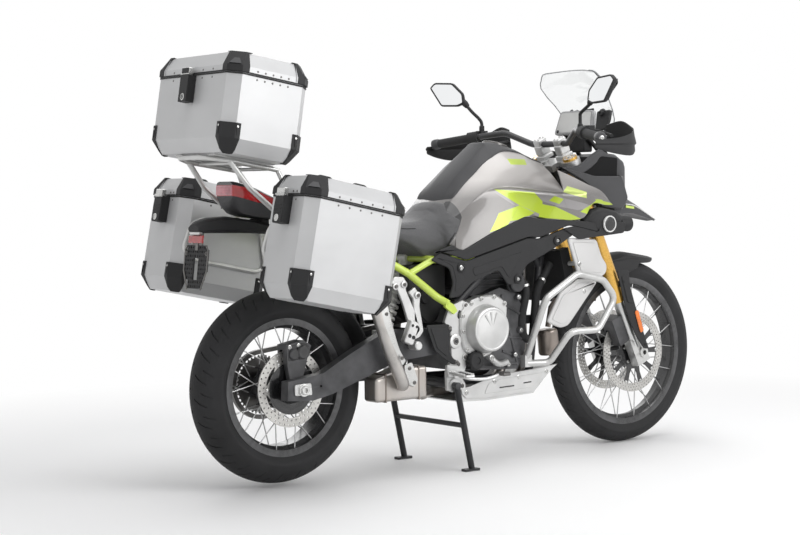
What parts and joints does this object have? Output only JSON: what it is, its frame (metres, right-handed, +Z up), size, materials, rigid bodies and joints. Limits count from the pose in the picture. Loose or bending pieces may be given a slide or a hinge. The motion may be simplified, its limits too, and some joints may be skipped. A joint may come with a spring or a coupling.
{
  "type": "adventure motorcycle",
  "caption": "Tall travel motorcycle with wire wheels, crash bars, hand guards, a top case and two side cases, parked upright on its centre stand.",
  "frame": {"origin": "on the floor, at the middle of the whole length and width", "axes": "+X forward, +Y to the rider's left, +Z up"},
  "size_m": [2.257, 1.064, 1.419],
  "materials": {
    "frame_black": "satin",
    "cast_alloy": "satin",
    "lime_paint": "gloss",
    "engine_black": "matte",
    "engine_grey": "satin",
    "steel_pipe": "satin",
    "steel_brushed": "satin",
    "steel_dark": "satin",
    "black_plastic": "matte",
    "gloss_black": "gloss",
    "grey_plastic": "matte",
    "silver_paint": "gloss",
    "silver_tube": "satin",
    "lamp_glass": "gloss",
    "screen_clear": "gloss",
    "red_lens": "gloss",
    "seat_vinyl": "matte",
    "spring_white": "satin",
    "case_alloy": "satin",
    "gold_anodised": "satin",
    "grey_bar": "satin",
    "rubber_black": "matte",
    "tyre_rubber": "matte",
    "rim_black": "satin",
    "hub_lime": "gloss",
    "disc_steel": "satin"
  },
  "bodies": {
    "chassis": {"main_frame": "frame_black", "pivot_plates": "cast_alloy", "subframe": "lime_paint", "engine_block": "engine_black", "engine_covers": "engine_grey", "exhaust": "steel_pipe", "silencer": "steel_brushed", "radiator": "black_plastic", "radiator_panels": "silver_paint", "crash_bars": "silver_tube", "skid_plate": "cast_alloy", "fuel_tank": "silver_paint", "tank_cover": "grey_plastic", "side_panels": "black_plastic", "front_cowl": "gloss_black", "lamps": "lamp_glass", "windscreen": "screen_clear", "dash": "grey_plastic", "seat_rider": "seat_vinyl", "seat_pillion": "seat_vinyl", "tail_unit": "black_plastic", "tail_lamp": "red_lens", "rear_mudguard": "black_plastic", "plate_carrier": "black_plastic", "swingarm": "cast_alloy", "rear_axle": "steel_brushed", "rear_shock": "spring_white", "rear_caliper": "engine_black", "drive_chain": "steel_dark", "footrests": "cast_alloy", "luggage_rack": "frame_black", "case_carriers": "frame_black", "top_case": "case_alloy", "side_case_left": "case_alloy", "side_case_right": "case_alloy", "case_fittings": "black_plastic"},
    "front_end": {"triple_clamps": "engine_grey", "fork_tubes": "gold_anodised", "fork_sliders": "steel_brushed", "front_axle": "steel_brushed", "handlebar": "grey_bar", "controls": "rubber_black", "handguards": "black_plastic", "mirrors": "black_plastic", "front_fender": "black_plastic", "front_calipers": "engine_black"},
    "front_wheel": {"front_tyre": "tyre_rubber", "front_rim": "rim_black", "front_hub": "hub_lime", "front_discs": "disc_steel"},
    "rear_wheel": {"rear_tyre": "tyre_rubber", "rear_rim": "rim_black", "rear_hub": "hub_lime", "rear_rotors": "disc_steel"},
    "top_case_lid": {"top_case_lid": "case_alloy"},
    "side_case_lid_left": {"side_case_lid_left": "case_alloy"},
    "side_case_lid_right": {"side_case_lid_right": "case_alloy"},
    "centre_stand": {"centre_stand": "frame_black"},
    "side_stand": {"side_stand": "frame_black"}
  },
  "joints": [
    {"name": "steering", "type": "hinge", "parent": "chassis", "child": "front_end", "pos_m": [0.45924, 0, 0.95954], "axis": [-0.4067, 0, 0.9135], "range_deg": [-36, 36]},
    {"name": "front_wheel_spin", "type": "hinge", "parent": "front_end", "child": "front_wheel", "pos_m": [0.781, 0, 0.3475], "axis": [0, 1, 0], "continuous": true},
    {"name": "rear_wheel_spin", "type": "hinge", "parent": "chassis", "child": "rear_wheel", "pos_m": [-0.789, 0, 0.331], "axis": [0, 1, 0], "continuous": true},
    {"name": "centre_stand_pivot", "type": "hinge", "parent": "chassis", "child": "centre_stand", "pos_m": [-0.177, 0, 0.3], "axis": [0, 1, 0], "range_deg": [0, 80]},
    {"name": "side_stand_pivot", "type": "hinge", "parent": "chassis", "child": "side_stand", "pos_m": [-0.089, 0.225, 0.304], "axis": [-0.0354, -0.936, -0.3502], "range_deg": [0, 100]},
    {"name": "top_case_lid_hinge", "type": "hinge", "parent": "chassis", "child": "top_case_lid", "pos_m": [-0.78481, 0, 1.30405], "axis": [0, 1, 0], "range_deg": [0, 80]},
    {"name": "side_case_lid_hinge_left", "type": "hinge", "parent": "chassis", "child": "side_case_lid_left", "pos_m": [-0.59737, 0.3745, 0.88921], "axis": [0, 1, 0], "range_deg": [0, 80]},
    {"name": "side_case_lid_hinge_right", "type": "hinge", "parent": "chassis", "child": "side_case_lid_right", "pos_m": [-0.59737, -0.3745, 0.88921], "axis": [0, 1, 0], "range_deg": [0, 80]}
  ]
}
